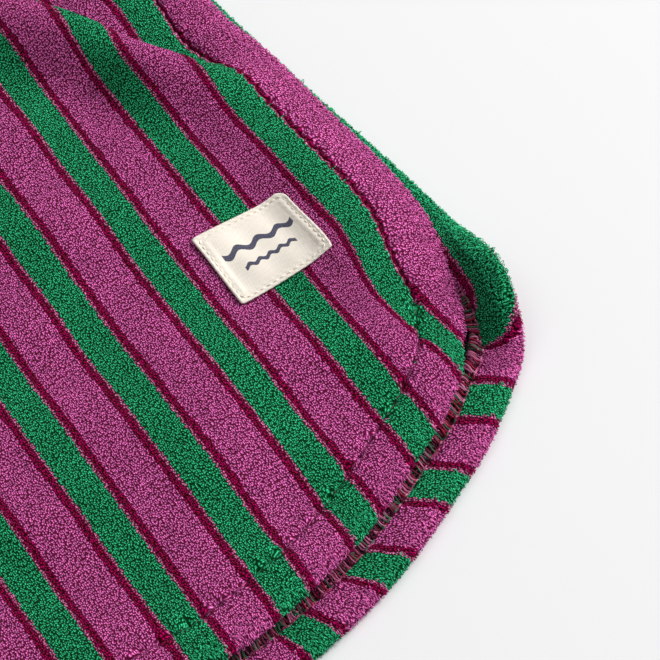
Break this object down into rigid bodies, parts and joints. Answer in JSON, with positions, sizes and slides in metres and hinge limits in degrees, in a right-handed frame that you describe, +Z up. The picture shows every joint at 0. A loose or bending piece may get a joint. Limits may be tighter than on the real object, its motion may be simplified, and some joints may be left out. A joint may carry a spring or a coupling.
{
  "type": "hooded baby towel",
  "caption": "Pull-over hooded towel in striped terry, laid flat: back and shorter front panel with rounded, turned and stitched hems, open sides, and a hood at the neck.",
  "frame": {"origin": "on the floor under the centre of the towel's box", "axes": "+Z up, +Y from the hem towards the hood, +X across the width towards the side with the patch label"},
  "size_m": [0.596, 0.81, 0.0585],
  "materials": {
    "terry_panels": "looped terry in woven stripes of orchid pink, green and maroon",
    "terry_hood": "looped terry in the same stripes",
    "overlock_thread": "three-thread overlock in maroon, pink and green",
    "topstitch_thread": "spun polyester sewing thread",
    "label_cotton": "plain-woven cream cotton tape",
    "label_thread": "cream sewing thread",
    "tape_cotton": "herringbone cotton tape",
    "care_satin": "white printed-label satin, left blank"
  },
  "bodies": {
    "towel": {"back_panel": "terry_panels", "back_hem_band": "terry_panels", "back_overlock_edge": "overlock_thread", "back_hem_stitching": "topstitch_thread", "front_yoke": "terry_panels", "yoke_side_bands": "terry_panels", "yoke_overlock_edges": "overlock_thread", "yoke_side_stitching": "topstitch_thread", "shoulder_seam_left": "overlock_thread", "shoulder_seam_right": "overlock_thread", "neck_tape": "tape_cotton"},
    "front": {"front_panel": "terry_panels", "front_hem_band": "terry_panels", "front_overlock_edge": "overlock_thread", "front_hem_stitching": "topstitch_thread", "patch_label": "label_cotton", "patch_label_stitching": "label_thread"},
    "hood": {"hood_left": "terry_hood", "hood_right": "terry_hood", "hood_centre_seam": "overlock_thread", "hood_brim_band": "terry_hood", "hood_brim_stitching": "topstitch_thread"},
    "loop": {"hanging_loop": "tape_cotton"},
    "care_tag": {"care_label": "care_satin"}
  },
  "joints": [
    {"name": "front_lift", "type": "hinge", "parent": "towel", "child": "front", "pos_m": [0, 0.065, 0.02], "axis": [-1, 0, 0], "range_deg": [0, 90]},
    {"name": "hood_raise", "type": "hinge", "parent": "towel", "child": "hood", "pos_m": [0, 0.155, 0.02], "axis": [1, 0, 0], "range_deg": [0, 90]},
    {"name": "loop_swing", "type": "hinge", "parent": "towel", "child": "loop", "pos_m": [0, 0.154, 0.0054], "axis": [-1, 0, 0], "range_deg": [0, 100]},
    {"name": "care_label_flip", "type": "hinge", "parent": "towel", "child": "care_tag", "pos_m": [0, 0.154, 0.0051], "axis": [-1, 0, 0], "range_deg": [0, 100]}
  ]
}
